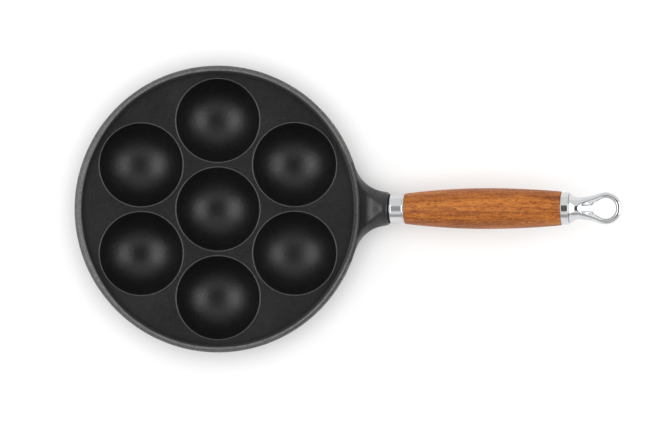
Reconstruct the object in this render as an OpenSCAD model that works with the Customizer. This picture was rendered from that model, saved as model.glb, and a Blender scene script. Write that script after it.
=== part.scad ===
// Pan for round filled pancakes: an iron casting with one well in the middle and six around it,
// and a wooden grip that one long rod clamps to the casting's neck through a chromed hanging loop.
// The origin is the centre of the base, +Z is up, and the handle points along +X and rises.

/* [Pan] */
// Widest diameter, across the rim
pan_d = 200; // [198:1:230]
// Height from the base to the top of the lip
pan_h = 36; // [34:0.5:44]
// Outside diameter of the skirt at its foot
foot_d = 188; // [176:1:196]
// Thickness of the skirt
skirt_wall = 3.6; // [3:0.1:4.5]
// Depth of the cooking deck below the top of the lip
deck_drop = 4.5; // [3.8:0.1:6]
// Thickness of the deck between the wells
deck_t = 4.4; // [3.5:0.1:6]

/* [Rim] */
// Width of the raised lip
lip_w = 2.7; // [2.4:0.1:3.4]
// Rounding of the lip's two top edges
lip_round = 1.1; // [0.4:0.1:1.15]
// Fillet between the lip and the deck
deck_fillet = 1.4; // [0.8:0.1:2.4]
// Drop from the top of the lip to the ground band outside it
lip_step = 2.8; // [1.6:0.1:3.2]
// Width of the ground band, seen from above
band_w = 2.1; // [1.4:0.1:2.6]
// Fall of the ground band to its outer edge
band_fall = 1.8; // [1:0.1:2.6]
// Upright edge below the ground band
edge_h = 0.6; // [0.4:0.1:1.5]

/* [Wells] */
// Number of wells around the middle one
ring_count = 6; // [4:1:6]
// Direction of the first of them from the handle, in degrees
ring_turn = 30; // [0:1:59]
// Diameter of a well at its mouth
well_d = 57.6; // [50:0.2:58.6]
// Depth of a well below the deck
well_depth = 27; // [22:0.5:28]
// Thickness of a well's wall
well_wall = 4.2; // [3:0.1:5]
// Width of the raised bead round a well's mouth
bead_w = 1.1; // [0.8:0.1:1.3]
// Height of that bead above the deck
bead_h = 0.5; // [0.3:0.1:0.8]
// Flat deck left between the outer beads and the lip's fillet
well_margin = 2.1; // [0.8:0.1:2.6]
// Diameter of the flat pad under a well
pad_d = 24; // [18:0.5:30]

/* [Neck] */
// Reach of the neck's end face beyond the rim, at the handle's axis
neck_reach = 19.8; // [18:0.2:26]
// Diameter of the neck's round end
neck_d = 24.6; // [24:0.2:30]
// Height of the lip's top above the handle's axis, at the neck's end face
neck_drop = 8; // [5:0.5:11]
// Rise of the handle, in degrees
handle_tilt = 10; // [4:0.5:16]
// Straight stretch behind the neck's end face
neck_straight = 0.5; // [0.3:0.1:1.5]
// Rounding of the neck's end edge
neck_round = 1.1; // [0.6:0.1:2]
// Drop from the top of the lip to the flat on the neck
flat_drop = 3.6; // [3.2:0.1:4.6]
// Distance of the ramp's top from the neck's end face
ramp_setback = 5.3; // [3:0.1:8]
// Slope of the ramp, in degrees
ramp_angle = 42; // [30:1:55]
// Fillet at the bottom of the ramp
ramp_fillet = 6; // [2:0.5:9]

/* [Clamping rod] */
// Diameter of the rod's thread
rod_d = 8; // [6:0.5:9]
// Length of thread screwed into the neck
thread_grip = 15; // [9:0.25:17]
// Unthreaded space left beyond it in the socket
socket_spare = 3; // [1:0.5:4]
// Depth of the rod in the hanging loop
loop_grip = 7.5; // [4:0.5:8]
// Radial clearance of the rod in metal
rod_gap = 0.05; // [0.02:0.01:0.1]
// Chamfer at the rod's ends
rod_chamfer = 0.8; // [0.3:0.1:1.2]

/* [Spacer and ferrule] */
// Diameter of the black spacer
spacer_d = 20.2; // [18:0.1:21]
// Thickness of the spacer
spacer_t = 1; // [0.6:0.1:2]
// Diameter of the ferrule
ferrule_d = 21; // [20.4:0.1:22]
// Length of the ferrule
ferrule_l = 10.1; // [8:0.1:14]
// Thickness of its side
ferrule_wall = 1.3; // [1:0.1:2]
// Thickness of its end plate
ferrule_end = 2; // [1.5:0.1:3]
// Width of the raised rim at each of its ends
ferrule_rim = 1.2; // [0.8:0.1:2]
// Depth of the waist between the rims
ferrule_waist = 0.25; // [0.1:0.05:0.4]
// Bevel on the outer edges of the ferrule and of the collar
metal_bevel = 0.4; // [0.2:0.1:0.6]

/* [Grip] */
// Length of the wood that shows
grip_l = 109.8; // [90:1:140]
// Diameter at the ferrule
grip_front_d = 21.2; // [20:0.1:24]
// Largest diameter
grip_max_d = 28.4; // [25:0.1:32]
// Distance of the largest diameter from the ferrule
grip_swell = 57.4; // [40:0.2:70]
// Diameter at the collar
grip_rear_d = 23.5; // [22.6:0.1:24.8]
// Rounding of the grip's end edges
grip_round = 0.5; // [0.2:0.1:0.8]
// Bore for the rod
grip_bore = 9.2; // [9.2:0.1:11]
// Radial clearance of the grip's spigots in the ferrule and collar
spigot_gap = 0.1; // [0.05:0.01:0.2]
// Clearance at the end of each spigot
spigot_end = 0.3; // [0.1:0.1:0.8]

/* [Collar and washer] */
// Diameter of the rear collar
collar_d = 22.4; // [21.8:0.1:23.4]
// Length of the collar
collar_l = 5.5; // [4.5:0.1:9]
// Thickness of its side
collar_wall = 1.3; // [1:0.1:2]
// Thickness of its end plate
collar_end = 1.6; // [1.2:0.1:2.5]
// Diameter of the lock washer in the loop's base
washer_d = 13; // [11.5:0.1:15]
// Thickness of the lock washer
washer_t = 1.2; // [0.8:0.1:2]
// Clearance of the lock washer in its recess, and round the rod
washer_gap = 0.2; // [0.1:0.05:0.4]

/* [Hanging loop] */
// Diameter of the flared base
base_d = 21.2; // [19:0.1:21.6]
// Upright edge of the base
base_edge = 0.8; // [0.4:0.1:1.5]
// Diameter of the stem
stem_d = 14.8; // [13.6:0.1:17]
// Distance of the stem's narrowest place from the base
stem_at = 7.6; // [6:0.1:10]
// Length of the whole loop
loop_l = 36.4; // [34:0.1:50]
// Width across the loop
loop_d = 22.4; // [21.6:0.1:28]
// Thickness of the bar that forms the loop
bar_d = 4.2; // [3.4:0.1:5]
// Thickness of the metal at the edge of the hole
land_t = 1.6; // [1:0.1:2.4]
// Width across the hole, at its round end
hole_d = 14.2; // [12:0.2:15]
// Distance of the hole's narrow end from the base
hole_at = 15.3; // [13.5:0.1:17]
// Radius of the hole's narrow end
hole_tip_r = 5; // [2.5:0.1:5.5]
// Distance of the dished face's tip from the base
dish_at = 6; // [5.5:0.1:8]
// Radius of the dished face's tip
dish_tip_r = 4; // [2.5:0.1:5]

/* [Hidden] */
$fn = 96;
overcut = 1;

// Heights and radii of the pan
rim_r = pan_d / 2;
foot_r = foot_d / 2;
deck_z = pan_h - deck_drop;
crease_z = pan_h - lip_step;
edge_z = crease_z - band_fall;
skirt_top_z = edge_z - edge_h;
lip_out_r = rim_r - band_w;
lip_in_r = lip_out_r - lip_w;
deck_r = lip_in_r - deck_fillet;

// A well is a cap of a sphere whose mouth and depth are given
mouth_r = well_d / 2;
bead_r = mouth_r + bead_w;
ball_r = (mouth_r * mouth_r + well_depth * well_depth) / (2 * well_depth);
ball_z = deck_z - well_depth + ball_r;
ring_r = deck_r - well_margin - bead_r;

// The neck's sides are arcs that leave the rim smoothly and end along the handle
neck_r = neck_d / 2;
neck_x = rim_r + neck_reach;
neck_z = pan_h - neck_drop;
flat_z = pan_h - flat_drop;
arc_x = neck_x - neck_straight;
arc_r = (arc_x * arc_x + neck_r * neck_r - rim_r * rim_r) / (2 * (rim_r - neck_r));
arc_y = neck_r + arc_r;
leave_a = atan2(arc_y, arc_x);
leave_x = rim_r * cos(leave_a);
leave_y = rim_r * sin(leave_a);
root_r = rim_r - skirt_wall / 2;
root_x = root_r * cos(leave_a);
root_y = root_r * sin(leave_a);
squareness = 1.2;

// Stations along the handle's axis, counted from the neck's end face
ferrule_s = spacer_t;
grip_s = ferrule_s + ferrule_l;
collar_s = grip_s + grip_l;
loop_s = collar_s + collar_l;
rod_r = rod_d / 2;
rod_hole_r = rod_r + rod_gap;
ring_bar_r = bar_d / 2;
ring_centre_s = loop_l - loop_d / 2;
crest_r = loop_d / 2 - ring_bar_r;
hole_r = hole_d / 2;

// Points of an arc from angle a0 to angle a1
function arc_points(cx, cy, r, a0, a1, n) =
    [for (i = [0:n]) let (a = a0 + (a1 - a0) * i / n) [cx + r * cos(a), cy + r * sin(a)]];

// Outline of the pan's wall, deck and lip, from the axis outwards
pan_outline = concat(
    [[0, deck_z - deck_t]],
    [[rim_r - skirt_wall - (rim_r - foot_r) * (skirt_top_z - deck_z + deck_t) / skirt_top_z, deck_z - deck_t]],
    [[foot_r - skirt_wall, 0], [foot_r, 0]],
    [[rim_r, skirt_top_z], [rim_r, edge_z], [lip_out_r, crease_z]],
    arc_points(lip_out_r - lip_round, pan_h - lip_round, lip_round, 0, 90, 6),
    arc_points(lip_in_r + lip_round, pan_h - lip_round, lip_round, 90, 180, 6),
    arc_points(deck_r, deck_z + deck_fillet, deck_fillet, 0, -90, 6),
    [[0, deck_z]]);

// Half the neck's width at a distance x from the pan's axis
function neck_half(x) = x < leave_x ? root_y + (leave_y - root_y) * (x - root_x) / (leave_x - root_x)
    : x < arc_x ? arc_y - sqrt(arc_r * arc_r - (arc_x - x) * (arc_x - x)) : neck_r;

// Puts its children on the handle's axis, with +Z along the handle and -X upwards
module on_handle(s = 0) {
    translate([neck_x, 0, neck_z])
        rotate([0, 90 - handle_tilt, 0])
            translate([0, 0, s])
                children();
}

// Places its children at every well
module at_wells() {
    children();
    for (i = [0:ring_count - 1])
        rotate([0, 0, ring_turn + 360 * i / ring_count])
            translate([ring_r, 0, 0])
                children();
}

// Raised bead round the mouth of a well, whose inner side the well's sphere cuts
module bead() {
    bevel = bead_w / 3;
    inner_r = mouth_r - bead_w;
    low_z = deck_z - bead_w - 2 * bead_h;
    top_z = deck_z + bead_h;
    rotate_extrude()
        polygon([[inner_r, low_z], [bead_r, low_z], [bead_r, deck_z], [bead_r - bevel, top_z],
            [mouth_r + bevel, top_z], [inner_r, top_z - bevel - bead_w]]);
}

// Outside of a well, with the pad that it stands on
module well_outside() {
    intersection() {
        translate([0, 0, ball_z])
            sphere(r = ball_r + well_wall);
        cylinder(r = ball_r + 2 * well_wall, h = deck_z - deck_t / 2);
    }
    cylinder(d = pad_d, h = deck_z - well_depth);
}

// Neck from the rim to its round end, as sections square to the handle's axis.
// Each is half an ellipse below, and squarer above the nearer it is to the rim.
module neck_loft() {
    steps = 14;
    round_steps = 4;
    around = 40;
    start_s = -(neck_x - root_x) / cos(handle_tilt);
    end_s = -neck_round;
    rings = concat(
        [for (i = [0:steps]) let (s = start_s + (end_s - start_s) * i / steps) [s, 0, 1 - i / steps]],
        [for (i = [1:round_steps]) let (a = 90 * i / round_steps)
            [end_s + neck_round * sin(a), neck_round * (1 - cos(a)), 0]]);
    points = [for (ring = rings) for (j = [0:around - 1])
        let (a = 360 * j / around,
            power = 2 / (2 + (cos(a) < 0 ? squareness * ring[2] : 0)),
            width = neck_half(neck_x + ring[0] * cos(handle_tilt)) - ring[1],
            height = neck_r - ring[1])
        [height * sign(cos(a)) * pow(abs(cos(a)), power),
            width * sign(sin(a)) * pow(abs(sin(a)), power), ring[0]]];
    last = len(rings) - 1;
    sides = [for (i = [0:last - 1]) for (j = [0:around - 1])
        let (a = i * around + j, b = i * around + (j + 1) % around)
        each [[a, a + around, b + around], [a, b + around, b]]];
    caps = [[for (j = [0:around - 1]) j], [for (j = [around - 1:-1:0]) last * around + j]];
    on_handle()
        polyhedron(points, concat(sides, caps));
}

// Space above the neck's flat and its ramp, which the casting leaves out
module above_ramp() {
    top_x = neck_x - ramp_setback;
    top_z = neck_z - ramp_setback * tan(handle_tilt) + neck_r / cos(handle_tilt);
    foot_x = top_x - (top_z - flat_z) / tan(ramp_angle);
    bend = ramp_fillet * tan(ramp_angle / 2);
    rise = neck_r;
    outline = concat(
        arc_points(foot_x - bend, flat_z + ramp_fillet, ramp_fillet, -90, -90 + ramp_angle, 8),
        [[top_x + rise / tan(ramp_angle), top_z + rise], [root_x - neck_r, top_z + rise], [root_x - neck_r, flat_z]]);
    rotate([90, 0, 0])
        linear_extrude(2 * leave_y + neck_d, center = true)
            polygon(outline);
}

// Inside of the pan up to the middle of its skirt, where the neck must not reach
module pan_core() {
    half = skirt_wall / 2;
    rotate_extrude()
        polygon([[0, -overcut], [foot_r - half, -overcut], [foot_r - half, 0], [rim_r - half, skirt_top_z],
            [lip_out_r - lip_w / 2, skirt_top_z], [lip_out_r - lip_w / 2, pan_h + neck_d], [0, pan_h + neck_d]]);
}

module pan_casting() {
    color([0.17, 0.17, 0.17])
        difference() {
            union() {
                rotate_extrude()
                    polygon(pan_outline);
                at_wells()
                    bead();
                at_wells()
                    well_outside();
                difference() {
                    neck_loft();
                    above_ramp();
                    pan_core();
                }
            }
            at_wells()
                translate([0, 0, ball_z])
                    sphere(r = ball_r);
            on_handle(-thread_grip - socket_spare)
                cylinder(r = rod_hole_r, h = thread_grip + socket_spare + overcut);
        }
}

module neck_spacer() {
    color([0.05, 0.05, 0.05])
        on_handle()
            difference() {
                cylinder(d = spacer_d, h = spacer_t);
                translate([0, 0, -overcut])
                    cylinder(r = rod_hole_r, h = spacer_t + 2 * overcut);
            }
}

module front_ferrule() {
    r = ferrule_d / 2;
    waist_r = r - ferrule_waist;
    inside_r = r - ferrule_wall;
    color([0.82, 0.82, 0.83])
        on_handle(ferrule_s)
            rotate_extrude()
                polygon([[rod_hole_r, 0], [r - metal_bevel, 0], [r, metal_bevel], [r, ferrule_rim],
                    [waist_r, ferrule_rim + ferrule_waist], [waist_r, ferrule_l - ferrule_rim - ferrule_waist],
                    [r, ferrule_l - ferrule_rim], [r, ferrule_l - metal_bevel], [r - metal_bevel, ferrule_l],
                    [inside_r, ferrule_l], [inside_r, ferrule_end], [rod_hole_r, ferrule_end]]);
}

module wood_grip() {
    front_r = grip_front_d / 2;
    max_r = grip_max_d / 2;
    rear_r = grip_rear_d / 2;
    front_spigot_r = ferrule_d / 2 - ferrule_wall - spigot_gap;
    rear_spigot_r = collar_d / 2 - collar_wall - spigot_gap;
    rear_run = grip_l - grip_swell;
    // Each half of the barrel is one large arc that is level at the swell
    front_arc_r = (pow(grip_swell, 2) + pow(max_r - front_r, 2)) / (2 * (max_r - front_r));
    rear_arc_r = (pow(rear_run, 2) + pow(max_r - rear_r, 2)) / (2 * (max_r - rear_r));
    front_sweep = asin((grip_swell - grip_round) / front_arc_r);
    rear_sweep = asin((rear_run - grip_round) / rear_arc_r);
    color([0.70, 0.44, 0.25])
        on_handle(grip_s)
            rotate_extrude()
                polygon(concat(
                    [[grip_bore / 2, -ferrule_l + ferrule_end + spigot_end]],
                    [[front_spigot_r, -ferrule_l + ferrule_end + spigot_end], [front_spigot_r, 0]],
                    [[front_r - grip_round, 0]],
                    arc_points(max_r - front_arc_r, grip_swell, front_arc_r, -front_sweep, 0, 10),
                    arc_points(max_r - rear_arc_r, grip_swell, rear_arc_r, rear_sweep / 9, rear_sweep, 8),
                    [[rear_r - grip_round, grip_l]],
                    [[rear_spigot_r, grip_l], [rear_spigot_r, grip_l + collar_l - collar_end - spigot_end]],
                    [[grip_bore / 2, grip_l + collar_l - collar_end - spigot_end]]));
}

module rear_collar() {
    r = collar_d / 2;
    inside_r = r - collar_wall;
    color([0.82, 0.82, 0.83])
        on_handle(collar_s)
            rotate_extrude()
                polygon([[inside_r, 0], [r - metal_bevel, 0], [r, metal_bevel], [r, collar_l - metal_bevel],
                    [r - metal_bevel, collar_l], [rod_hole_r, collar_l], [rod_hole_r, collar_l - collar_end],
                    [inside_r, collar_l - collar_end]]);
}

module lock_washer() {
    color([0.55, 0.55, 0.56])
        on_handle(loop_s)
            difference() {
                cylinder(d = washer_d, h = washer_t);
                translate([0, 0, -overcut])
                    cylinder(r = rod_r + washer_gap, h = washer_t + 2 * overcut);
            }
}

// Ring of the loop, in the plane of the handle's axis and Y
module loop_ring() {
    translate([0, 0, ring_centre_s])
        rotate([0, 90, 0])
            rotate_extrude($fn = 48)
                translate([crest_r, 0])
                    circle(r = ring_bar_r, $fn = 20);
}

// A short round block across the loop, from height low to height high above its middle plane
module across(s, r, low, high) {
    translate([low, 0, s])
        rotate([0, 90, 0])
            cylinder(r = r, h = high - low, $fn = 48);
}

// One of the two dished faces, which slope from the crest of the bar down to the hole
module dish() {
    deep = stem_d;
    thin = 0.02;
    hull() {
        across(ring_centre_s, crest_r, ring_bar_r, deep);
        across(dish_at + dish_tip_r, dish_tip_r, stem_d / 2 - 0.4, deep);
        across(ring_centre_s, hole_r, land_t / 2, land_t / 2 + thin);
        across(hole_at + hole_tip_r, hole_tip_r, land_t / 2, land_t / 2 + thin);
    }
}

module hanging_loop() {
    stem_r = stem_d / 2;
    flare = base_d / 2 - stem_r;
    run = stem_at - base_edge;
    flare_r = (flare * flare + run * run) / (2 * flare);
    flare_sweep = asin(run / flare_r);
    color([0.86, 0.86, 0.87])
        on_handle(loop_s)
            difference() {
                union() {
                    rotate_extrude()
                        polygon(concat([[0, 0], [base_d / 2, 0]],
                            arc_points(stem_r + flare_r, stem_at, flare_r, 180 + flare_sweep, 180, 8),
                            [[0, stem_at]]));
                    hull() {
                        translate([0, 0, stem_at - overcut])
                            cylinder(r = stem_r, h = overcut, $fn = 48);
                        loop_ring();
                    }
                }
                dish();
                mirror([1, 0, 0])
                    dish();
                hull() {
                    across(ring_centre_s, hole_r, -stem_d, stem_d);
                    across(hole_at + hole_tip_r, hole_tip_r, -stem_d, stem_d);
                }
                translate([0, 0, -overcut])
                    cylinder(d = washer_d + 2 * washer_gap, h = washer_t + overcut);
                cylinder(r = rod_hole_r, h = loop_grip + rod_chamfer);
            }
}

module tie_rod() {
    length = thread_grip + loop_s + loop_grip;
    color([0.6, 0.6, 0.61])
        on_handle(-thread_grip)
            rotate_extrude()
                polygon([[0, 0], [rod_r - rod_chamfer, 0], [rod_r, rod_chamfer], [rod_r, length - rod_chamfer],
                    [rod_r - rod_chamfer, length], [0, length]]);
}

pan_casting();
neck_spacer();
front_ferrule();
wood_grip();
rear_collar();
lock_washer();
hanging_loop();
tie_rod();
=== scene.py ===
import math

import bpy
from mathutils import Matrix, Vector


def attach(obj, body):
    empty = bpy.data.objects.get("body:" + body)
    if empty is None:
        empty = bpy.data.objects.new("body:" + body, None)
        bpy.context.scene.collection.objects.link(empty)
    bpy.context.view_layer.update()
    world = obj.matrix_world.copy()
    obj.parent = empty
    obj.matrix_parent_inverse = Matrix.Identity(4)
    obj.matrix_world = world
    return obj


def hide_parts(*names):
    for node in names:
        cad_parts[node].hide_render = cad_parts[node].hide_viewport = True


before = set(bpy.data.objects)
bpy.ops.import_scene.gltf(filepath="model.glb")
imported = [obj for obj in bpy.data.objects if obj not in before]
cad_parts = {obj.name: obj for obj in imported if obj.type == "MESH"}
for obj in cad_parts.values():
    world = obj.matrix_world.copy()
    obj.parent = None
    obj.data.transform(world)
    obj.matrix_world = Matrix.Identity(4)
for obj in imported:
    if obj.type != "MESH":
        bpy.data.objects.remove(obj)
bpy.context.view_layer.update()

# Sizes are in millimetres, as in the part's source, and MM turns them into metres.
MM = 0.001

# ---------------------------------------------------------------- camera, straight above the pan
camera_over = (73.6, -2.2)
camera_height = 3400.0
camera_turn = -0.1
camera_lens = 268.8

bpy.ops.object.camera_add(location=(camera_over[0] * MM, camera_over[1] * MM, camera_height * MM),
                          rotation=(0, 0, math.radians(camera_turn)))
camera = bpy.context.object
camera.data.lens = camera_lens
camera.data.sensor_width = 36
camera.data.clip_start = 0.05
camera.data.clip_end = 50
bpy.context.scene.camera = camera

# ---------------------------------------------------------------- sizes of the pan
rim_r = 100.0
foot_r = 94.0
skirt_wall = 3.6
lip_top_z = 36.0
deck_z = 31.5
deck_under_z = 27.1
lip_out_r = 97.9
lip_in_r = 95.2
lip_round = 0.8
deck_fillet = 0.35
crease_z = 33.2
edge_z = 31.4
skirt_top_z = 30.8
flat_z = 32.4
ball_r = 28.86
ball_z = 33.36
well_wall = 4.2
ring_r = 61.8
bead_r = 29.9
bead_top_z = 32.0
pad_r = 12.0
band_w = 3.1
band_h = 1.6
# The ground band stops at these two angles, in degrees, where the neck's flat runs into the rim.
band_gap = (-21.7, 19.0)

# Sizes of the handle, whose axis starts at the middle of the neck's end face and rises
neck_x = 119.8
neck_z = 28.0
tilt = math.radians(10)
neck_r = 12.3
neck_slim = 0.5
rod_hole_r = 4.05
ferrule_s = 1.0
grip_s = 11.1
collar_s = 120.9
loop_s = 126.4
along_handle = Matrix.Translation((neck_x * MM, 0, neck_z * MM)) @ Matrix.Rotation(math.pi / 2 - tilt, 4, "Y")

# A turned solid without a hole starts and ends on a ring of this radius, which a flat face closes.
hub_r = 0.6


# ---------------------------------------------------------------- workshop helpers
def clear_selection():
    """Leaves nothing selected, because an operator acts on all that is."""
    if bpy.context.mode != "OBJECT":
        bpy.ops.object.mode_set(mode="OBJECT")
    bpy.ops.object.select_all(action="DESELECT")


def pick(piece):
    """Makes this piece the only one that is selected, and the active one."""
    clear_selection()
    piece.select_set(True)
    bpy.context.view_layer.objects.active = piece


def edit(piece):
    """Opens a piece for editing with all of it selected."""
    pick(piece)
    bpy.ops.object.mode_set(mode="EDIT")
    bpy.ops.mesh.select_mode(type="VERT")
    bpy.ops.mesh.select_all(action="SELECT")


def close_edit():
    """Goes back from editing to the piece as a whole."""
    bpy.ops.object.mode_set(mode="OBJECT")


def face_outwards(piece):
    """Merges what coincides and turns every face outwards."""
    edit(piece)
    bpy.ops.mesh.remove_doubles(threshold=0.000001)
    bpy.ops.mesh.normals_make_consistent(inside=False)
    close_edit()


def turned(name, outline, sides, tube=False):
    """Turns a solid as on a lathe: a ring is drawn out from point to point of the outline (radius, height).

    Its ends are closed by flat faces, or joined to each other for a piece with a hole through it."""
    clear_selection()
    r, z = outline[0]
    bpy.ops.mesh.primitive_circle_add(vertices=sides, radius=r * MM, fill_type="NOTHING", location=(0, 0, 0))
    piece = bpy.context.object
    piece.name = name
    bpy.ops.object.mode_set(mode="EDIT")
    bpy.ops.mesh.select_all(action="SELECT")
    bpy.ops.transform.translate(value=(0, 0, z * MM))
    for next_r, next_z in outline[1:]:
        bpy.ops.mesh.extrude_edges_move(TRANSFORM_OT_translate={"value": (0, 0, (next_z - z) * MM)})
        if next_r != r:
            grow = next_r / r
            bpy.ops.transform.resize(value=(grow, grow, 1), center_override=(0, 0, next_z * MM))
        r, z = next_r, next_z
    if tube:
        bpy.ops.mesh.select_all(action="DESELECT")
        bpy.ops.mesh.select_non_manifold()
        bpy.ops.mesh.bridge_edge_loops()
    else:
        bpy.ops.mesh.select_all(action="SELECT")
        bpy.ops.mesh.fill_holes(sides=0)
    close_edit()
    face_outwards(piece)
    return piece


def arc(centre_r, centre_z, radius, start, end, steps):
    """Points of an outline on an arc, with angles in degrees from the radius' own direction."""
    turn = [math.radians(start + (end - start) * i / steps) for i in range(steps + 1)]
    return [(centre_r + radius * math.cos(a), centre_z + radius * math.sin(a)) for a in turn]


def fix_place(piece, matrix):
    """Puts a piece in its place and settles the place in its mesh."""
    pick(piece)
    piece.matrix_world = matrix
    bpy.ops.object.transform_apply(location=True, rotation=True, scale=True)


def on_handle(piece, station=0.0):
    """Puts a piece that was turned about Z on the handle's axis, so far from the neck's end face."""
    fix_place(piece, along_handle @ Matrix.Translation((0, 0, station * MM)))


def copied(piece, matrix):
    """A copy with its own mesh, put in its place."""
    pick(piece)
    bpy.ops.object.duplicate(linked=False)
    twin = bpy.context.object
    fix_place(twin, matrix)
    return twin


def joined(name, parts):
    """Makes one piece of several."""
    clear_selection()
    for part in parts:
        part.select_set(True)
    bpy.context.view_layer.objects.active = parts[0]
    bpy.ops.object.join()
    piece = bpy.context.object
    piece.name = name
    return piece


def finish_with(piece, kind, **values):
    """Adds a modifier with these values and applies it."""
    pick(piece)
    step = piece.modifiers.new(kind.lower(), kind)
    for key, value in values.items():
        setattr(step, key, value)
    bpy.ops.object.modifier_apply(modifier=step.name)


def carve(piece, tool, operation="DIFFERENCE"):
    """Cuts the tool out of the piece, or adds it on, and puts the tool away."""
    finish_with(piece, "BOOLEAN", operation=operation, solver="EXACT", object=tool)
    bpy.data.objects.remove(tool)


def stretched_skin(name, parts):
    """One skin stretched tight over several blocks."""
    piece = joined(name, parts)
    edit(piece)
    bpy.ops.mesh.convex_hull()
    close_edit()
    face_outwards(piece)
    return piece


def smooth_shading(piece, angle=35):
    """Shades a piece smooth, apart from edges sharper than the angle, in degrees."""
    pick(piece)
    bpy.ops.object.shade_smooth_by_angle(angle=math.radians(angle))


# ---------------------------------------------------------------- materials
class Finish:
    """A material made of nodes. Each method adds a node and gives back the output that others read.

    Places, widths and depths in it are in metres."""

    def __init__(self, name):
        self.material = bpy.data.materials.new(name)
        self.material.use_nodes = True
        self.tree = self.material.node_tree
        self.shader = self.tree.nodes["Principled BSDF"]
        self.place = self.tree.nodes.new("ShaderNodeTexCoord").outputs["Object"]

    def node(self, kind, **values):
        made = self.tree.nodes.new(kind)
        for key, value in values.items():
            setattr(made, key, value)
        return made

    def link(self, source, target):
        if hasattr(source, "node"):
            self.tree.links.new(source, target)
        else:
            target.default_value = source

    def mapped(self, scale, turn=(0, 0, 0), shift=(0, 0, 0)):
        made = self.node("ShaderNodeMapping")
        self.link(self.place, made.inputs["Vector"])
        made.inputs["Scale"].default_value = scale
        made.inputs["Rotation"].default_value = turn
        made.inputs["Location"].default_value = shift
        return made.outputs["Vector"]

    def noise(self, scale, detail, rough, where=None, distortion=0.0):
        made = self.node("ShaderNodeTexNoise")
        self.link(self.place if where is None else where, made.inputs["Vector"])
        made.inputs["Scale"].default_value = scale
        made.inputs["Detail"].default_value = detail
        made.inputs["Roughness"].default_value = rough
        made.inputs["Distortion"].default_value = distortion
        return made.outputs["Fac"]

    def rings(self, scale, distortion):
        """Uneven rings round the pan's axis."""
        made = self.node("ShaderNodeTexWave", wave_type="RINGS", rings_direction="Z")
        self.link(self.mapped((1, 1, 0)), made.inputs["Vector"])
        made.inputs["Scale"].default_value = scale
        made.inputs["Distortion"].default_value = distortion
        made.inputs["Detail"].default_value = 2
        made.inputs["Detail Scale"].default_value = 6
        return made.outputs["Fac"]

    def spread(self, value, low, high, to_low=0.0, to_high=1.0):
        """Stretches what lies between low and high over another range, and stops at its ends."""
        made = self.node("ShaderNodeMapRange")
        self.link(value, made.inputs["Value"])
        made.inputs["From Min"].default_value = low
        made.inputs["From Max"].default_value = high
        made.inputs["To Min"].default_value = to_low
        made.inputs["To Max"].default_value = to_high
        return made.outputs["Result"]

    def along_axis(self, axis):
        """How far a point lies from the middle of the base along X, towards the handle, or Z, upwards."""
        made = self.node("ShaderNodeSeparateXYZ")
        self.link(self.place, made.inputs["Vector"])
        return made.outputs[axis]

    def radius(self):
        """How far a point lies from the pan's axis."""
        made = self.node("ShaderNodeVectorMath", operation="LENGTH")
        self.link(self.mapped((1, 1, 0)), made.inputs[0])
        return made.outputs["Value"]

    def sums(self, operation, a, b):
        made = self.node("ShaderNodeMath", operation=operation)
        self.link(a, made.inputs[0])
        self.link(b, made.inputs[1])
        return made.outputs["Value"]

    def mix(self, amount, a, b):
        """Lays colour b over colour a by the amount."""
        made = self.node("ShaderNodeMix", data_type="RGBA", blend_type="MIX")
        self.link(amount, made.inputs["Factor"])
        self.link(a if hasattr(a, "node") else (*a, 1), made.inputs["A"])
        self.link(b if hasattr(b, "node") else (*b, 1), made.inputs["B"])
        return made.outputs["Result"]

    def ramp(self, value, stops):
        made = self.node("ShaderNodeValToRGB")
        self.link(value, made.inputs["Fac"])
        while len(made.color_ramp.elements) < len(stops):
            made.color_ramp.elements.new(0.5)
        for element, (at, colour) in zip(made.color_ramp.elements, stops):
            element.position = at
            element.color = (*colour, 1)
        return made.outputs["Color"]

    def bump(self, height, depth, strength, under=None):
        made = self.node("ShaderNodeBump")
        self.link(height, made.inputs["Height"])
        made.inputs["Distance"].default_value = depth
        made.inputs["Strength"].default_value = strength
        if under is not None:
            self.link(under, made.inputs["Normal"])
        return made.outputs["Normal"]

    def set(self, **sockets):
        """Sets the shader's sockets and gives back the finished material."""
        for key, value in sockets.items():
            name = key.replace("_", " ").title().replace("Ior", "IOR")
            self.link(value, self.shader.inputs[name])
        return self.material


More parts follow.
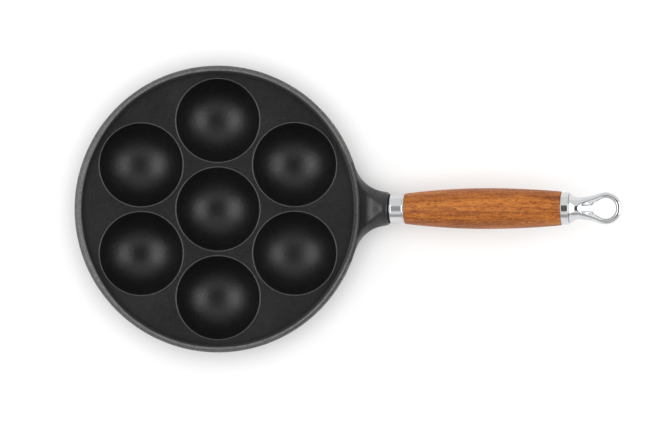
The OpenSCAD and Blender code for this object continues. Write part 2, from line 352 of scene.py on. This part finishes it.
def black_iron():
    """Seasoned cast iron: almost black, satin, with the pebbled skin of the mould, and raised edges painted
    lighter, as wear and as painted highlight.
    """
    f = Finish("seasoned cast iron")
    grit = f.noise(1500, 3, 0.6)
    skin = f.noise(420, 4, 0.55)
    patches = f.noise(26, 4, 0.6)
    height, radius, towards_handle = f.along_axis("Z"), f.radius(), f.along_axis("X")
    # The lip's top is painted lighter, as wear and as a painted highlight, over a wider ring at the side away
    # from the handle, and less by the neck.
    lip = f.sums("MULTIPLY", f.spread(height, 0.0349, 0.0354), f.spread(radius, 0.0981, 0.0977))
    wear_and_highlight_edge = f.sums("ADD", radius, f.spread(towards_handle, -0.064, -0.086, 0, 0.0010))
    lip = f.sums("MULTIPLY", lip, f.spread(wear_and_highlight_edge, 0.0961, 0.0967))
    lip = f.sums("MULTIPLY", lip, f.spread(towards_handle, 0.086, 0.093, 1.0, 0.45))
    # The bead round each well's mouth is painted lighter, as wear and as a painted highlight on its rounding.
    bead = f.sums("MULTIPLY", f.spread(height, 0.03178, 0.0320), f.spread(radius, 0.0942, 0.0940))
    rings = f.rings(430, 1.2)
    scuffs = f.spread(f.noise(620, 3, 0.6), 0.38, 0.62, 0.62, 1.08)
    scuffs = f.sums("MULTIPLY", scuffs, f.spread(rings, 0, 1, 0.72, 1.0))
    colour = f.mix(f.spread(patches, 0.35, 0.68), (0.0034, 0.0034, 0.0036), (0.0053, 0.0053, 0.0052))
    colour = f.mix(f.spread(grit, 0.55, 0.74, 0, 0.7), colour, (0.028, 0.0275, 0.027))
    # Painted highlight with wear: the lighter colour of the beads.
    colour = f.mix(f.sums("MULTIPLY", bead, scuffs), colour, (0.052, 0.051, 0.049))
    # Painted highlight with wear: the lighter colour of the lip's top.
    colour = f.mix(f.sums("MULTIPLY", lip, scuffs), colour, (0.142, 0.140, 0.136))
    gloss = f.sums("ADD", f.spread(patches, 0.3, 0.7, 0.33, 0.385), f.spread(skin, 0.3, 0.7, -0.03, 0.04))
    normal = f.bump(grit, 0.00012, 0.9, f.bump(skin, 0.0003, 0.3))
    return f.set(base_color=colour, roughness=gloss, specular_ior_level=0.5, normal=normal)


def ground_iron():
    """Bare band round the rim: grey iron with fine rings and specks, and painted shade as a dark line in the
    crease under the lip.
    """
    f = Finish("ground grey iron")
    speck = f.noise(1300, 4, 0.7)
    cloud = f.noise(220, 3, 0.6)
    chatter = f.noise(640, 2, 0.5)
    rings = f.rings(300, 1.6)
    colour = f.mix(f.spread(speck, 0.32, 0.7), (0.060, 0.059, 0.059), (0.220, 0.218, 0.213))
    colour = f.mix(f.spread(rings, 0.2, 0.8, 0, 0.6), colour, (0.055, 0.0545, 0.054))
    colour = f.mix(f.spread(chatter, 0.4, 0.62, 0, 0.6), colour, (0.040, 0.0396, 0.039))
    # Painted shade: a dark line in the crease under the lip.
    colour = f.mix(f.spread(f.radius(), 0.0985, 0.0981, 0, 0.8), colour, (0.022, 0.0218, 0.0215))
    gloss = f.spread(cloud, 0.3, 0.7, 0.42, 0.58)
    normal = f.bump(speck, 0.00008, 0.5, f.bump(rings, 0.0001, 0.4))
    return f.set(base_color=colour, metallic=0.35, roughness=gloss, normal=normal)


def bright_chrome():
    """Polished chrome plate, with the faint haze and drawn lines that polishing leaves."""
    f = Finish("polished chrome plate")
    haze = f.noise(90, 3, 0.6)
    lines = f.noise(1, 3, 0.6, f.mapped((60, 2600, 2600), (0, tilt, 0)))
    colour = f.mix(f.spread(haze, 0.35, 0.65), (0.585, 0.592, 0.602), (0.615, 0.622, 0.630))
    gloss = f.sums("ADD", f.spread(haze, 0.3, 0.7, 0.07, 0.11), f.spread(lines, 0.3, 0.7, 0, 0.03))
    normal = f.bump(lines, 0.00002, 0.12)
    return f.set(base_color=colour, metallic=1.0, roughness=gloss, normal=normal)


def grip_wood():
    """Oiled red-brown hardwood: long streaks and growth lines along the grip, with short dark pores."""
    f = Finish("oiled hardwood")
    back = (0, -(math.pi / 2 - tilt), 0)
    along = f.mapped((1, 1, 1), back, (-neck_x * MM, 0, -neck_z * MM))

    def grain(detail, rough, across, lengthways, distortion=0.0):
        stretch = f.node("ShaderNodeMapping")
        f.link(along, stretch.inputs["Vector"])
        stretch.inputs["Scale"].default_value = (across, across, lengthways)
        return f.noise(1, detail, rough, stretch.outputs["Vector"], distortion)

    streaks = grain(5, 0.62, 520, 22, 0.6)
    broad = grain(3, 0.5, 130, 9)
    pores = grain(3, 0.6, 1300, 330, 0.5)
    flecks = grain(3, 0.6, 1100, 380, 0.8)
    cloud = grain(2, 0.5, 45, 30)
    figure = f.sums("ADD", f.sums("MULTIPLY", streaks, 0.62), f.sums("MULTIPLY", broad, 0.38))
    colour = f.ramp(figure, [(0.36, (0.125, 0.026, 0.003)), (0.45, (0.250, 0.062, 0.006)),
                             (0.52, (0.360, 0.104, 0.012)), (0.62, (0.480, 0.160, 0.022))])
    colour = f.mix(f.spread(cloud, 0.35, 0.7, 0, 0.28), colour, (0.46, 0.155, 0.022))
    colour = f.mix(f.spread(flecks, 0.56, 0.70, 0, 0.55), colour, (0.62, 0.28, 0.075))
    colour = f.mix(f.spread(pores, 0.52, 0.64, 0, 0.8), colour, (0.110, 0.024, 0.003))
    gloss = f.sums("ADD", f.spread(streaks, 0.3, 0.7, 0.50, 0.40), f.spread(pores, 0.6, 0.7, 0, 0.2))
    normal = f.bump(pores, 0.00018, -0.5, f.bump(streaks, 0.00015, 0.3))
    return f.set(base_color=colour, roughness=gloss, specular_ior_level=0.28, normal=normal)


def black_fibre():
    """Pressed heat-resisting fibre, matt black."""
    f = Finish("black fibre board")
    felt = f.noise(1100, 4, 0.7)
    colour = f.mix(f.spread(felt, 0.3, 0.7), (0.006, 0.006, 0.006), (0.016, 0.0155, 0.015))
    gloss = f.spread(felt, 0.3, 0.7, 0.75, 0.9)
    return f.set(base_color=colour, roughness=gloss, specular_ior_level=0.2, normal=f.bump(felt, 0.0001, 0.5))


def turned_steel():
    """Plain steel from the lathe, with fine rings round the rod."""
    f = Finish("turned steel")
    rings = f.noise(1, 3, 0.6, f.mapped((2400, 120, 120), (0, tilt, 0)))
    haze = f.noise(120, 3, 0.6)
    colour = f.mix(f.spread(haze, 0.3, 0.7), (0.40, 0.40, 0.41), (0.52, 0.52, 0.53))
    gloss = f.spread(rings, 0.3, 0.7, 0.26, 0.40)
    return f.set(base_color=colour, metallic=1.0, roughness=gloss, normal=f.bump(rings, 0.00004, 0.4))


def pale_floor():
    """Dull white floor, a little uneven in tone."""
    f = Finish("pale floor")
    colour = f.mix(f.spread(f.noise(9, 2, 0.5), 0.3, 0.7), (0.885, 0.885, 0.885), (0.90, 0.90, 0.90))
    return f.set(base_color=colour, roughness=0.85, specular_ior_level=0.1)


iron = black_iron()
bare_iron = ground_iron()
chrome = bright_chrome()
wood = grip_wood()
fibre = black_fibre()
steel = turned_steel()


def give(piece, material, body, slot, *nodes):
    """Gives a piece its material and the body that it moves with, and hides the solids that it stands for."""
    piece.data.materials.clear()
    piece.data.materials.append(material)
    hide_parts(*nodes)
    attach(piece, body)


# ---------------------------------------------------------------- iron casting
def pan_body():
    """Skirt, ground band, raised lip and deck, turned as one solid."""
    inner_top_r = rim_r - skirt_wall - (rim_r - foot_r) * (skirt_top_z - deck_under_z) / skirt_top_z
    corner, foot_round = 2.5, 0.9
    outline = [(hub_r, deck_under_z), (60.0, deck_under_z)]
    outline += arc(inner_top_r - corner, deck_under_z - corner, corner, 90, 10, 5)
    outline += [(foot_r - skirt_wall + 0.1, 0.6), (foot_r - skirt_wall + 0.6, 0.0), (foot_r - foot_round, 0.0)]
    outline += arc(foot_r - foot_round, foot_round, foot_round, -90, -11, 5)[1:]
    outline += [(98.0, 20.0), (rim_r - 0.12, skirt_top_z - 0.3), (rim_r, skirt_top_z + 0.1)]
    outline += [(rim_r, edge_z - 0.2), (rim_r - 0.15, edge_z + 0.08), (rim_r - 0.35, edge_z + 0.27)]
    outline += [(98.9, 32.36), (lip_out_r + 0.15, crease_z - 0.02), (lip_out_r, crease_z + 0.1)]
    outline += arc(lip_out_r - lip_round, lip_top_z - lip_round, lip_round, 0, 90, 8)
    outline += arc(lip_in_r + lip_round, lip_top_z - lip_round, lip_round, 90, 180, 8)
    outline += arc(lip_in_r - deck_fillet, deck_z + deck_fillet, deck_fillet, 0, -90, 7)
    outline += [(94.2, deck_z), (hub_r, deck_z)]
    return turned("iron_pan", outline, 224)


def well_places():
    """The middle of the deck, and six places round it."""
    yield Matrix.Identity(4)
    for i in range(6):
        a = math.radians(30 + 60 * i)
        yield Matrix.Translation((ring_r * math.cos(a) * MM, ring_r * math.sin(a) * MM, 0))


def well_bead():
    """Raised rounded bead round a well's mouth."""
    root_r, root_z = 28.2, 30.2
    outline = [(root_r, root_z), (bead_r, root_z), (bead_r, deck_z + 0.12)]
    outline += [(bead_r - 0.06, deck_z + 0.28), (bead_r - 0.2, deck_z + 0.42), (bead_r - 0.4, bead_top_z)]
    outline += [(root_r, bead_top_z)]
    return turned("bead", outline, 120, tube=True)


def well_outside():
    """Outside of a well, with the round pad that it stands on."""
    out_r = ball_r + well_wall
    outline = [(hub_r, 0.0), (pad_r - 0.5, 0.0), (pad_r, 0.5), (pad_r, 2.1), (pad_r + 0.35, 2.65)]
    steps, first, last = 15, 23.5, 82
    for i in range(steps + 1):
        a = math.radians(first + (last - first) * i / steps)
        outline.append((out_r * math.sin(a), ball_z - out_r * math.cos(a)))
    outline += [(hub_r, outline[-1][1])]
    return turned("well_outside", outline, 72)


def well_hollow():
    """What a well takes out of the casting, with the rounding of its mouth."""
    outline = [(hub_r, ball_z - ball_r + 0.006)]
    steps, mouth_z, over_z = 26, 31.25, 38.0
    last = math.degrees(math.acos((ball_z - mouth_z) / ball_r))
    for i in range(1, steps + 1):
        a = math.radians(last * i / steps)
        outline.append((ball_r * math.sin(a), ball_z - ball_r * math.cos(a)))
    outline += [(28.83, 31.5), (28.93, 31.75), (29.08, 31.92), (29.24, 32.01), (29.3, 32.4)]
    outline += [(29.3, over_z), (hub_r, over_z)]
    return turned("well_hollow", outline, 120)


def neck_half(x):
    """Half the neck's width at a distance x from the pan's middle. Its sides are arcs that leave the rim
    smoothly, and it gets its full slimness 8 mm further out."""
    straight_x, arc_r = 119.3, 24.99
    leave_x, leave_y, slim_run = 95.45, 29.83, 8
    if x >= straight_x:
        return neck_r - neck_slim
    if x < leave_x:
        return leave_y * x / leave_x
    slim = neck_slim * min(1, (x - leave_x) / slim_run)
    return neck_r + arc_r - math.sqrt(arc_r ** 2 - (straight_x - x) ** 2) - slim


def roundness(depth):
    """How square the neck's upper half is, from its end face inwards: 2 is round, less is like a roof."""
    table = [(0.0, 2.0), (2.0, 1.9), (5.0, 1.5), (8.0, 1.32),
             (14.0, 1.42), (18.0, 2.0), (22.0, 3.4), (30.0, 5.5)]
    for (d0, p0), (d1, p1) in zip(table, table[1:]):
        if depth <= d1:
            return p0 + (p1 - p0) * (depth - d0) / (d1 - d0)
    return table[-1][1]


def iron_neck():
    """Neck of the casting, from its round end back to the rim, with its flat and its ramp."""
    # Each station is a place along the axis and how far the rounding of the end draws the skin in there.
    stations = [(0.0, 1.9), (-0.12, 1.3), (-0.4, 0.85), (-0.9, 0.5), (-1.6, 0.28), (-2.6, 0.1)]
    first, spacing = -3.75, 1.25
    stations += [(first - spacing * i, 0.0) for i in range(23)]
    clear_selection()
    bpy.ops.mesh.primitive_circle_add(vertices=112, radius=neck_r * MM, fill_type="NGON", location=(0, 0, 0))
    piece = bpy.context.object
    piece.name = "neck"
    edit(piece)
    for (s0, _), (s1, _) in zip(stations, stations[1:]):
        bpy.ops.mesh.extrude_region_move(TRANSFORM_OT_translate={"value": (0, 0, (s1 - s0) * MM)})
    close_edit()
    for v in piece.data.vertices:
        s, inset = min(stations, key=lambda place: abs(place[0] - v.co.z / MM))
        width = neck_half(neck_x + s * math.cos(tilt)) - inset
        height = neck_r - inset
        a = math.atan2(v.co.y, -v.co.x)
        up, side = math.cos(a), math.sin(a)
        power = 2 / roundness(-s) if up > 0 else 1.0
        v.co.x = -height * math.copysign(abs(up) ** power, up) * MM
        v.co.y = width * math.copysign(abs(side) ** power, side) * MM
    face_outwards(piece)
    on_handle(piece)
    carve(piece, ramp_cutter())
    finish_with(piece, "REMESH", mode="VOXEL", voxel_size=0.5 * MM)
    finish_with(piece, "SMOOTH", factor=0.5, iterations=9)
    soft = piece.vertex_groups.new(name="soft edges of the ramp")
    soft_z, soft_x, fade = 32.8, 118.0, 2
    for v in piece.data.vertices:
        x, z = v.co.x / MM, v.co.z / MM
        if z > 30:
            high = min(1, max(0, (z - soft_z) / fade))
            inwards = min(1, max(0, (soft_x - x) / fade))
            soft.add([v.index], high * inwards, "REPLACE")
    finish_with(piece, "SMOOTH", factor=0.5, iterations=110, vertex_group=soft.name)
    return piece


def ramp_cutter():
    """Block over the neck's flat, with a slanted side for the ramp and a rounded edge for its fillet."""
    slope, fillet = math.radians(42), 3.45
    top = Vector((113.7 * MM, 0, 39.4 * MM))
    foot = Vector((top.x - (top.z - flat_z * MM) / math.tan(slope), 0, flat_z * MM))
    low, high = (62 * MM, flat_z * MM), (135 * MM, 62 * MM)
    clear_selection()
    bpy.ops.mesh.primitive_cube_add(size=1, location=(0, 0, 0))
    block = bpy.context.object
    edit(block)
    bpy.ops.transform.resize(value=(high[0] - low[0], 0.1, high[1] - low[1]), center_override=(0, 0, 0))
    bpy.ops.transform.translate(value=((high[0] + low[0]) / 2, 0, (high[1] + low[1]) / 2))
    bpy.ops.mesh.select_all(action="SELECT")
    bpy.ops.mesh.bisect(plane_co=top, plane_no=(-math.sin(slope), 0, math.cos(slope)),
                        use_fill=True, clear_inner=True)
    close_edit()
    near = 1e-5
    picked = []
    for edge in block.data.edges:
        ends = [block.data.vertices[i].co for i in edge.vertices]
        if all(abs(end.x - foot.x) < near and abs(end.z - foot.z) < near for end in ends):
            picked.append(edge.index)
    bpy.ops.object.mode_set(mode="EDIT")
    bpy.ops.mesh.select_mode(type="EDGE")
    bpy.ops.mesh.select_all(action="DESELECT")
    close_edit()
    for i in picked:
        block.data.edges[i].select = True
    bpy.ops.object.mode_set(mode="EDIT")
    bpy.ops.mesh.bevel(offset=fillet * MM, segments=18, affect="EDGES")
    close_edit()
    face_outwards(block)
    return block


def pan_core():
    """Inside of the pan up to the middle of its skirt, which the neck must not reach."""
    half, lip_middle_r, over_z = skirt_wall / 2, 96.55, 60.0
    outline = [(hub_r, -1.0), (foot_r - half, -1.0), (foot_r - half, 0.0), (rim_r - half, skirt_top_z)]
    outline += [(lip_middle_r, skirt_top_z), (lip_middle_r, over_z), (hub_r, over_z)]
    return turned("core", outline, 128)


def band_cutter():
    """Takes the ground band away where the neck's flat runs into the rim."""
    start, end = [math.radians(a) for a in band_gap]
    clear_selection()
    bpy.ops.mesh.primitive_plane_add(size=1, location=(0, 0, 0), rotation=(math.pi / 2, 0, 0))
    block = bpy.context.object
    bpy.ops.object.transform_apply(location=True, rotation=True, scale=True)
    edit(block)
    bpy.ops.transform.resize(value=(band_w * MM, 1, band_h * MM), center_override=(0, 0, 0))
    bpy.ops.transform.translate(value=((lip_out_r + band_w / 2) * MM, 0, (flat_z + band_h / 2) * MM))
    bpy.ops.transform.rotate(value=-start, orient_axis="Z", center_override=(0, 0, 0))
    bpy.ops.mesh.spin(steps=40, angle=end - start, center=(0, 0, 0), axis=(0, 0, 1))
    close_edit()
    face_outwards(block)
    return block


def socket_cutter():
    """Tapped socket for the rod in the neck."""
    outline = [(hub_r, -18.0), (rod_hole_r - 0.4, -18.0), (rod_hole_r, -17.4), (rod_hole_r, -0.5)]
    outline += [(rod_hole_r + 0.6, 0.1), (rod_hole_r + 0.6, 1.0), (hub_r, 1.0)]
    piece = turned("socket", outline, 64)
    on_handle(piece)
    return piece


def iron_casting():
    """The whole casting: pan, wells and neck."""
    pan = pan_body()
    neck = iron_neck()
    carve(neck, pan_core())
    carve(pan, band_cutter())
    carve(pan, neck, "UNION")
    outside, bead, hollow = well_outside(), well_bead(), well_hollow()
    for place in well_places():
        carve(pan, copied(outside, place), "UNION")
    for place in well_places():
        carve(pan, copied(bead, place), "UNION")
    for place in well_places():
        carve(pan, copied(hollow, place))
    for spare in (outside, bead, hollow):
        bpy.data.objects.remove(spare)
    carve(pan, socket_cutter())
    give(pan, iron, "pan", "iron", "pan_casting")
    pan.data.materials.append(bare_iron)
    for face in pan.data.polygons:
        c = face.center / MM
        r = math.hypot(c.x, c.y)
        turn = math.degrees(math.atan2(c.y, c.x))
        on_band = lip_out_r < r < rim_r - 0.02 and edge_z + 0.05 < c.z < crease_z - 0.01
        if on_band and not band_gap[0] < turn < band_gap[1]:
            face.material_index = 1
    smooth_shading(pan, 33)


# ---------------------------------------------------------------- handle
def spacer_ring():
    """Thin black ring between the neck and the ferrule."""
    outline = [(rod_hole_r, 0.0), (9.95, 0.0), (10.1, 0.15), (10.1, 0.85), (9.95, 1.0), (rod_hole_r, 1.0)]
    piece = turned("fibre_spacer", outline, 96, tube=True)
    smooth_shading(piece)
    on_handle(piece)
    give(piece, fibre, "handle", "fibre", "neck_spacer")


def ferrule_cup():
    """Bright ferrule with a raised rounded rim at each end, and a bored plate inside."""
    bead, middle, bore = 10.5, 10.25, 9.2
    outline = [(rod_hole_r, 0.0), (10.1, 0.0), (10.34, 0.1), (10.46, 0.26), (bead, 0.45), (bead, 1.0)]
    outline += [(10.46, 1.2), (10.34, 1.34), (10.27, 1.42), (middle, 1.55), (middle, 1.7), (middle, 8.4)]
    outline += [(middle, 8.55), (10.27, 8.68), (10.34, 8.76), (10.46, 8.9), (bead, 9.1), (bead, 9.65)]
    outline += [(10.46, 9.84), (10.34, 10.0), (10.1, 10.1), (bore, 10.1), (bore, 2.0), (rod_hole_r, 2.0)]
    piece = turned("bright_ferrule", outline, 128, tube=True)
    smooth_shading(piece, 40)
    on_handle(piece, ferrule_s)
    give(piece, chrome, "handle", "chrome", "front_ferrule")


def wooden_grip():
    """Turned barrel of wood with a spigot at each end and a bore for the rod."""
    front_r, max_r, rear_r, swell, length, edge = 10.6, 14.2, 11.75, 57.4, 109.8, 0.6
    front_arc = (swell ** 2 + (max_r - front_r) ** 2) / (2 * (max_r - front_r))
    rear_run = length - swell
    rear_arc = (rear_run ** 2 + (max_r - rear_r) ** 2) / (2 * (max_r - rear_r))
    bore_r = 4.6
    outline = [(bore_r, -7.8), (8.7, -7.8), (9.1, -7.4), (9.1, 0.0)]
    outline += [(front_r - edge, 0.0), (front_r - 0.22, 0.13)]
    outline += [(max_r - front_arc + math.sqrt(front_arc ** 2 - (swell - z) ** 2), z)
                for z in (0.6, 1.4, 3.5, 7.0, 11, 15, 20, 25, 30, 35, 40, 46, 52, 57.4)]
    outline += [(max_r - rear_arc + math.sqrt(rear_arc ** 2 - (z - swell) ** 2), z)
                for z in (63, 69, 75, 80, 85, 90, 95, 99, 103, 106.4, 108.4, 109.2)]
    outline += [(rear_r - 0.22, length - 0.13), (rear_r - edge, length), (9.85, length)]
    outline += [(9.85, 113.0), (9.45, 113.4), (bore_r, 113.4)]
    piece = turned("wooden_grip", outline, 128, tube=True)
    smooth_shading(piece)
    on_handle(piece, grip_s)
    give(piece, wood, "handle", "wood", "wood_grip")


def rear_ring():
    """Bright collar at the grip's rear end, bored for the rod, with a seat for the washer."""
    outside, bore, plate_at, end, seat = 11.2, 9.9, 3.9, 5.5, 5.47
    outline = [(bore, 0.0), (10.8, 0.0), (11.05, 0.1), (11.16, 0.26), (outside, 0.45), (outside, 0.6)]
    outline += [(outside, 4.8), (outside, 4.95), (11.16, 5.16), (11.05, 5.34), (10.75, end), (7.0, end)]
    outline += [(6.95, seat), (rod_hole_r, seat), (rod_hole_r, plate_at), (bore, plate_at)]
    piece = turned("bright_collar", outline, 128, tube=True)
    smooth_shading(piece, 40)
    on_handle(piece, collar_s)
    give(piece, chrome, "handle", "chrome", "rear_collar")


# ---------------------------------------------------------------- hanging loop
# Heights in the loop are counted from its base, along the handle's axis.
ring_at = 25.2
crest_r = 9.1
bar_r = 2.16
hole_r = 7.1
throat_at = 20.3
throat_r = 5.0
stem_r = 7.4
stem_at = 7.6
land_z = 0.8
# A cutter that goes out through the loop's face reaches this far from its middle.
clear_z = 16.0


def disc(radius, at, low, high):
    """Round block across the loop, from height low to height high above its middle."""
    clear_selection()
    bpy.ops.mesh.primitive_cylinder_add(vertices=96, radius=radius * MM, depth=(high - low) * MM,
                                        location=(-(high + low) / 2 * MM, 0, at * MM),
                                        rotation=(0, math.pi / 2, 0))
    piece = bpy.context.object
    bpy.ops.object.transform_apply(location=True, rotation=True, scale=True)
    return piece


def crest_line(at):
    """How far from the loop's middle the crest of the bar lies, so far along from its base."""
    places = [(4.0, 0.0), (5.9, 1.2), (7.8, 3.3), (9.9, 4.5),
              (14.7, 6.45), (18.9, 7.4), (22.4, 8.6), (25.2, 9.07)]
    for (at0, y0), (at1, y1) in zip(places, places[1:]):
        if at <= at1:
            return y0 + (y1 - y0) * (at - at0) / (at1 - at0)
    return math.sqrt(max(crest_r ** 2 - (at - ring_at) ** 2, 0))


def dish_cutter():
    """Dished face of the loop, which slopes from the crest of the bar down to the hole."""
    toe_r, toe_at, toe_z = 3.6, 10.4, 6.9
    return stretched_skin("dish", [disc(crest_r - 0.6, ring_at, bar_r, clear_z),
                                   disc(toe_r, toe_at, toe_z, clear_z),
                                   disc(hole_r, ring_at, land_z, land_z + 0.1),
                                   disc(throat_r + 0.8, throat_at, land_z, land_z + 0.1)])


def loop_piece():
    """Flared base, stem and dished teardrop loop, in one piece."""
    flare_w, flare_h = 3.2, 6.8
    flare_r = (flare_w ** 2 + flare_h ** 2) / (2 * flare_w)
    sweep = math.degrees(math.asin(flare_h / flare_r))
    outline = [(hub_r, 0.0), (10.3, 0.0), (10.55, 0.12), (10.6, 0.35)]
    outline += arc(stem_r + flare_r, stem_at, flare_r, 180 + sweep, 180, 16)
    outline += [(hub_r, stem_at)]
    base = turned("loop", outline, 128)
    clear_selection()
    bpy.ops.mesh.primitive_cylinder_add(vertices=128, radius=stem_r * MM, depth=1.0 * MM,
                                        location=(0, 0, (stem_at - 0.55) * MM))
    stem = bpy.context.object
    clear_selection()
    bpy.ops.mesh.primitive_torus_add(major_radius=crest_r * MM, minor_radius=bar_r * MM,
                                     major_segments=128, minor_segments=32,
                                     rotation=(0, math.pi / 2, 0), location=(0, 0, ring_at * MM))
    ring = bpy.context.object
    bpy.ops.object.transform_apply(location=True, rotation=True, scale=True)
    carve(base, stretched_skin("body", [stem, ring]), "UNION")
    front = dish_cutter()
    carve(base, copied(front, Matrix.Rotation(math.pi, 4, "Z")))
    carve(base, front)
    carve(base, stretched_skin("hole", [disc(hole_r, ring_at, -clear_z, clear_z),
                                        disc(throat_r, throat_at, -clear_z, clear_z)]))
    recess_r, recess_h = 6.7, 1.2
    recess = [(hub_r, -1.0), (recess_r, -1.0), (recess_r, recess_h), (rod_hole_r, recess_h), (rod_hole_r, 8.0)]
    carve(base, turned("recess", recess + [(3.6, 8.4), (hub_r, 8.4)], 96))
    finish_with(base, "REMESH", mode="VOXEL", voxel_size=0.22 * MM)
    finish_with(base, "SMOOTH", factor=0.5, iterations=60)
    hollow = base.vertex_groups.new(name="hollow of the dish")
    dish_from, dish_to = 6.5, 19
    for v in base.data.vertices:
        across, at = abs(v.co.y) / MM, v.co.z / MM
        if dish_from < at < dish_to and abs(v.co.x) / MM > 0.4:
            inside = min(1, (crest_line(at) - 0.5 - across) / 1.2)
            inside *= min(1, (at - dish_from) / 2) * min(1, (dish_to - at) / 3)
            if inside > 0:
                hollow.add([v.index], inside, "REPLACE")
    finish_with(base, "SMOOTH", factor=0.5, iterations=260, vertex_group=hollow.name)
    crest = base.vertex_groups.new(name="polished crest")
    for v in base.data.vertices:
        across, at = abs(v.co.y) / MM, v.co.z / MM
        if 5.0 < at < ring_at + 3 and abs(v.co.x) / MM > 0.9:
            near = 1 - abs(across - crest_line(at)) / 1.7
            if near > 0:
                crest.add([v.index], min(1.0, 2 * near), "REPLACE")
    finish_with(base, "SMOOTH", factor=0.5, iterations=60, vertex_group=crest.name)
    # The sides between the stem and the ring are drawn in a little.
    waist_l, waist = 14.9, 0.058
    for v in base.data.vertices:
        z = v.co.z / MM
        if stem_at < z < stem_at + waist_l:
            v.co.y *= 1 - waist * math.sin(math.pi * (z - stem_at) / waist_l) ** 1.3
    base.name = "bright_hanging_loop"
    smooth_shading(base, 50)
    on_handle(base, loop_s)
    give(base, chrome, "loop", "chrome", "hanging_loop")


iron_casting()
spacer_ring()
ferrule_cup()
wooden_grip()
rear_ring()
loop_piece()

# The rod and the washer are hidden, and their plain solids get a turned finish.
for hidden in ("tie_rod", "lock_washer"):
    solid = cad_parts[hidden]
    solid.data.materials.clear()
    solid.data.materials.append(steel)


# ---------------------------------------------------------------- floor and light
clear_selection()
bpy.ops.mesh.primitive_plane_add(size=8, location=(0, 0, -0.0001))
floor = bpy.context.object
floor.name = "floor"
bpy.ops.object.transform_apply(location=True, rotation=True, scale=True)
floor.data.materials.append(pale_floor())


def soft_box(name, direction, distance, width, height, watts):
    """A large lamp behind white cloth that faces the pan and gives it its gloss alone."""
    way = Vector(direction).normalized()
    aim = Vector((0.07, 0, 0.02))
    clear_selection()
    bpy.ops.object.light_add(type="AREA", location=aim + way * distance)
    lamp = bpy.context.object
    lamp.name = name
    lamp.rotation_mode = "QUATERNION"
    lamp.rotation_quaternion = (-way).to_track_quat("-Z", "Y")
    lamp.data.shape = "RECTANGLE"
    lamp.data.size = width
    lamp.data.size_y = height
    lamp.data.energy = watts
    lamp.visible_diffuse = False


# The boxes at the sides give the gloss, and the cloth overhead gives the light that falls on the floor.
side_angle = math.radians(55)
for name, side in (("left soft box", -1), ("right soft box", 1)):
    soft_box(name, (side * math.sin(side_angle), 0, math.cos(side_angle)),
             distance=1.6, width=1.3, height=1.2, watts=13.2)
clear_selection()
bpy.ops.object.light_add(type="SUN", location=(0, 0, 2))
cloth = bpy.context.object
cloth.name = "cloth overhead"
cloth.data.angle = math.radians(52)
cloth.data.energy = 1.75
cloth.visible_glossy = False


def white_room():
    """White surroundings, with a dark hood over the pan and a grey strip of wall on the near side.

    Its parts are placed by the slope of the line of sight: so far along X or Y for each step upwards."""
    world = bpy.data.worlds.new("white room")
    bpy.context.scene.world = world
    world.use_nodes = True
    tree = world.node_tree
    sky = tree.nodes["Background"]
    way = tree.nodes.new("ShaderNodeTexCoord").outputs["Generated"]
    split = tree.nodes.new("ShaderNodeSeparateXYZ")
    tree.links.new(way, split.inputs["Vector"])

    def calc(operation, a, b=0.0):
        made = tree.nodes.new("ShaderNodeMath")
        made.operation = operation
        for socket, value in zip(made.inputs, (a, b)):
            if hasattr(value, "node"):
                tree.links.new(value, socket)
            else:
                socket.default_value = value
        return made.outputs["Value"]

    def step(value, start, end, from_value, to_value):
        made = tree.nodes.new("ShaderNodeMapRange")
        made.interpolation_type = "SMOOTHSTEP"
        tree.links.new(value, made.inputs["Value"])
        made.inputs["From Min"].default_value = start
        made.inputs["From Max"].default_value = end
        made.inputs["To Min"].default_value = from_value
        made.inputs["To Max"].default_value = to_value
        return made.outputs["Result"]

    up = calc("MAXIMUM", split.outputs["Z"], 0.02)
    over_x = calc("DIVIDE", split.outputs["X"], up)
    over_y = calc("DIVIDE", split.outputs["Y"], up)
    hood = calc("MULTIPLY", step(over_x, -0.375, -0.335, 0, 1), step(over_x, 0.56, 0.62, 1, 0))
    hood = calc("MULTIPLY", hood, step(calc("ABSOLUTE", over_y), 0.39, 0.43, 1, 0))
    strip = calc("MULTIPLY", step(over_y, -0.98, -1.08, 0, 1), step(over_y, -2.6, -3.0, 1, 0))
    low = step(over_y, -3.0, -4.0, 0, 1)
    hood_dark, strip_dark, low_light = 0.92, 0.5, 0.12
    light = calc("SUBTRACT", 1.0, calc("MULTIPLY", hood, hood_dark))
    light = calc("SUBTRACT", light, calc("MULTIPLY", strip, strip_dark))
    light = calc("ADD", light, calc("MULTIPLY", low, low_light))
    tree.links.new(light, sky.inputs["Strength"])
    sky.inputs["Color"].default_value = (1, 1, 1, 1)


white_room()
bpy.context.scene.view_settings.view_transform = "Standard"
bpy.context.scene.view_settings.look = "None"
